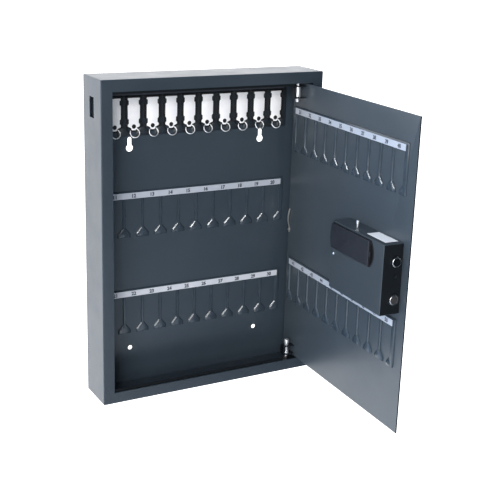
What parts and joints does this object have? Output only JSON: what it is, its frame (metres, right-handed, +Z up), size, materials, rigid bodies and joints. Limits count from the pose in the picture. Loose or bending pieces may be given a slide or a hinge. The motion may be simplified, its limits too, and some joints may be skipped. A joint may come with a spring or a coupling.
{
  "type": "key cabinet",
  "caption": "Wall key cabinet with an inset door on pin hinges, comb racks with numbered strips and hanging tags, and a keypad lock with two round bolts.",
  "frame": {"origin": "middle of the back face that lies on the wall", "axes": "+X to the right seen from the front, +Y into the wall, +Z up"},
  "size_m": [0.408, 0.4069, 0.55],
  "materials": {
    "case_paint": "fine satin powder coat",
    "rack_plastic": "satin moulded",
    "label_strip": "satin label",
    "tag_plastic": "satin moulded",
    "tag_paper": "plain card",
    "bright_steel": "bright plated",
    "zinc_steel": "zinc plated",
    "spring_steel": "bright wire",
    "lock_cover_paint": "fine satin powder coat",
    "lock_plastic": "fine grained",
    "white_paper": "plain label",
    "cell_sleeve": "gloss sleeve",
    "board": "solder mask",
    "keypad_plastic": "fine grained",
    "key_rubber": "soft touch",
    "knob_plastic": "satin moulded",
    "brass": "bright"
  },
  "bodies": {
    "cabinet": {"cabinet_shell": "case_paint", "back_panel": "case_paint", "door_stop": "case_paint", "hinge_bushes": "bright_steel", "rack_1": "rack_plastic", "rack_2": "rack_plastic", "rack_3": "rack_plastic", "rack_labels_back": "label_strip"},
    "door": {"door_skin": "case_paint", "door_backing": "case_paint", "rack_4": "rack_plastic", "rack_5": "rack_plastic", "rack_labels_door": "label_strip", "hinge_bracket_upper": "bright_steel", "hinge_bracket_lower": "bright_steel", "hinge_pin_upper": "bright_steel", "hinge_pin_spring": "spring_steel", "leaf_spring": "zinc_steel", "lock_chassis": "zinc_steel", "lock_cover": "lock_cover_paint", "lock_screws": "zinc_steel", "cover_label": "white_paper", "solenoid_body": "zinc_steel", "plunger_spring": "spring_steel", "battery_box": "lock_plastic", "batteries": "cell_sleeve", "battery_contacts": "spring_steel", "keypad_bezel": "keypad_plastic", "circuit_board": "board"},
    "lower_pin": {"hinge_pin_lower": "bright_steel"},
    "battery_lid": {"battery_lid": "lock_plastic"},
    "knob": {"knob": "knob_plastic", "knob_spindle": "zinc_steel"},
    "bolts": {"bolt_carriage": "zinc_steel", "lock_bolts": "bright_steel"},
    "plunger": {"solenoid_plunger": "zinc_steel"},
    "reset_button": {"reset_button": "bright_steel"},
    "override_plug": {"override_plug": "brass"},
    "key_01": {"keypad_key_01": "key_rubber"},
    "key_02": {"keypad_key_02": "key_rubber"},
    "key_03": {"keypad_key_03": "key_rubber"},
    "key_04": {"keypad_key_04": "key_rubber"},
    "key_05": {"keypad_key_05": "key_rubber"},
    "key_06": {"keypad_key_06": "key_rubber"},
    "key_07": {"keypad_key_07": "key_rubber"},
    "key_08": {"keypad_key_08": "key_rubber"},
    "key_09": {"keypad_key_09": "key_rubber"},
    "key_10": {"keypad_key_10": "key_rubber"},
    "key_11": {"keypad_key_11": "key_rubber"},
    "key_12": {"keypad_key_12": "key_rubber"},
    "tag_01": {"key_tag_01": "tag_plastic"},
    "tag_02": {"key_tag_02": "tag_plastic"},
    "tag_03": {"key_tag_03": "tag_plastic"},
    "tag_04": {"key_tag_04": "tag_plastic"},
    "tag_05": {"key_tag_05": "tag_plastic"},
    "tag_06": {"key_tag_06": "tag_plastic"},
    "tag_07": {"key_tag_07": "tag_plastic"},
    "tag_08": {"key_tag_08": "tag_plastic"},
    "tag_09": {"key_tag_09": "tag_plastic"},
    "tag_10": {"key_tag_10": "tag_plastic"}
  },
  "joints": [
    {"name": "door_hinge", "type": "hinge", "parent": "cabinet", "child": "door", "pos_m": [0.1636, -0.0605, 0], "axis": [0, 0, 1], "range_deg": [-87.2, 12.5]},
    {"name": "lower_pin_lift", "type": "slide", "parent": "door", "child": "lower_pin", "axis": [0, 0, 1], "range_m": [0, 0.008], "stiffness_N_per_m": 400, "springref_m": -0.004, "deforming": ["hinge_pin_spring"]},
    {"name": "battery_lid_lift", "type": "slide", "parent": "door", "child": "battery_lid", "axis": [-0.9988, 0.0489, 0], "range_m": [0, 0.015]},
    {"name": "knob_turn", "type": "hinge", "parent": "door", "child": "knob", "pos_m": [0.16612, -0.33655, -0.0014], "axis": [0.9988, -0.0489, 0], "range_deg": [0, 90.1]},
    {"name": "bolt_slide", "type": "slide", "parent": "door", "child": "bolts", "axis": [-0.0489, -0.9988, 0], "range_m": [0, 0.02]},
    {"name": "plunger_slide", "type": "slide", "parent": "door", "child": "plunger", "axis": [0, 0, 1], "range_m": [0, 0.0045], "deforming": ["plunger_spring"]},
    {"name": "reset_press", "type": "slide", "parent": "door", "child": "reset_button", "axis": [0, 0, -1], "range_m": [0, 0.0025], "stiffness_N_per_m": 400, "springref_m": -0.002},
    {"name": "override_turn", "type": "hinge", "parent": "door", "child": "override_plug", "pos_m": [0.16866, -0.28462, -0.036], "axis": [0.9988, -0.0489, 0], "range_deg": [0, 90]},
    {"name": "key_01_press", "type": "slide", "parent": "door", "child": "key_01", "axis": [-0.9988, 0.0489, 0], "range_m": [0, 0.0012], "stiffness_N_per_m": 400, "springref_m": -0.0015},
    {"name": "key_02_press", "type": "slide", "parent": "door", "child": "key_02", "axis": [-0.9988, 0.0489, 0], "range_m": [0, 0.0012], "stiffness_N_per_m": 400, "springref_m": -0.0015},
    {"name": "key_03_press", "type": "slide", "parent": "door", "child": "key_03", "axis": [-0.9988, 0.0489, 0], "range_m": [0, 0.0012], "stiffness_N_per_m": 400, "springref_m": -0.0015},
    {"name": "key_04_press", "type": "slide", "parent": "door", "child": "key_04", "axis": [-0.9988, 0.0489, 0], "range_m": [0, 0.0012], "stiffness_N_per_m": 400, "springref_m": -0.0015},
    {"name": "key_05_press", "type": "slide", "parent": "door", "child": "key_05", "axis": [-0.9988, 0.0489, 0], "range_m": [0, 0.0012], "stiffness_N_per_m": 400, "springref_m": -0.0015},
    {"name": "key_06_press", "type": "slide", "parent": "door", "child": "key_06", "axis": [-0.9988, 0.0489, 0], "range_m": [0, 0.0012], "stiffness_N_per_m": 400, "springref_m": -0.0015},
    {"name": "key_07_press", "type": "slide", "parent": "door", "child": "key_07", "axis": [-0.9988, 0.0489, 0], "range_m": [0, 0.0012], "stiffness_N_per_m": 400, "springref_m": -0.0015},
    {"name": "key_08_press", "type": "slide", "parent": "door", "child": "key_08", "axis": [-0.9988, 0.0489, 0], "range_m": [0, 0.0012], "stiffness_N_per_m": 400, "springref_m": -0.0015},
    {"name": "key_09_press", "type": "slide", "parent": "door", "child": "key_09", "axis": [-0.9988, 0.0489, 0], "range_m": [0, 0.0012], "stiffness_N_per_m": 400, "springref_m": -0.0015},
    {"name": "key_10_press", "type": "slide", "parent": "door", "child": "key_10", "axis": [-0.9988, 0.0489, 0], "range_m": [0, 0.0012], "stiffness_N_per_m": 400, "springref_m": -0.0015},
    {"name": "key_11_press", "type": "slide", "parent": "door", "child": "key_11", "axis": [-0.9988, 0.0489, 0], "range_m": [0, 0.0012], "stiffness_N_per_m": 400, "springref_m": -0.0015},
    {"name": "key_12_press", "type": "slide", "parent": "door", "child": "key_12", "axis": [-0.9988, 0.0489, 0], "range_m": [0, 0.0012], "stiffness_N_per_m": 400, "springref_m": -0.0015},
    {"name": "tag_01_pull", "type": "slide", "parent": "cabinet", "child": "tag_01", "axis": [0, -1, 0], "range_m": [0, 0.012]},
    {"name": "tag_02_pull", "type": "slide", "parent": "cabinet", "child": "tag_02", "axis": [0, -1, 0], "range_m": [0, 0.012]},
    {"name": "tag_03_pull", "type": "slide", "parent": "cabinet", "child": "tag_03", "axis": [0, -1, 0], "range_m": [0, 0.012]},
    {"name": "tag_04_pull", "type": "slide", "parent": "cabinet", "child": "tag_04", "axis": [0, -1, 0], "range_m": [0, 0.012]},
    {"name": "tag_05_pull", "type": "slide", "parent": "cabinet", "child": "tag_05", "axis": [0, -1, 0], "range_m": [0, 0.012]},
    {"name": "tag_06_pull", "type": "slide", "parent": "cabinet", "child": "tag_06", "axis": [0, -1, 0], "range_m": [0, 0.012]},
    {"name": "tag_07_pull", "type": "slide", "parent": "cabinet", "child": "tag_07", "axis": [0, -1, 0], "range_m": [0, 0.012]},
    {"name": "tag_08_pull", "type": "slide", "parent": "cabinet", "child": "tag_08", "axis": [0, -1, 0], "range_m": [0, 0.012]},
    {"name": "tag_09_pull", "type": "slide", "parent": "cabinet", "child": "tag_09", "axis": [0, -1, 0], "range_m": [0, 0.012]},
    {"name": "tag_10_pull", "type": "slide", "parent": "cabinet", "child": "tag_10", "axis": [0, -1, 0], "range_m": [0, 0.012]}
  ],
  "couplings": [
    {"joint": "knob_turn", "follows": "bolt_slide", "rad_per_m": 78.54}
  ]
}
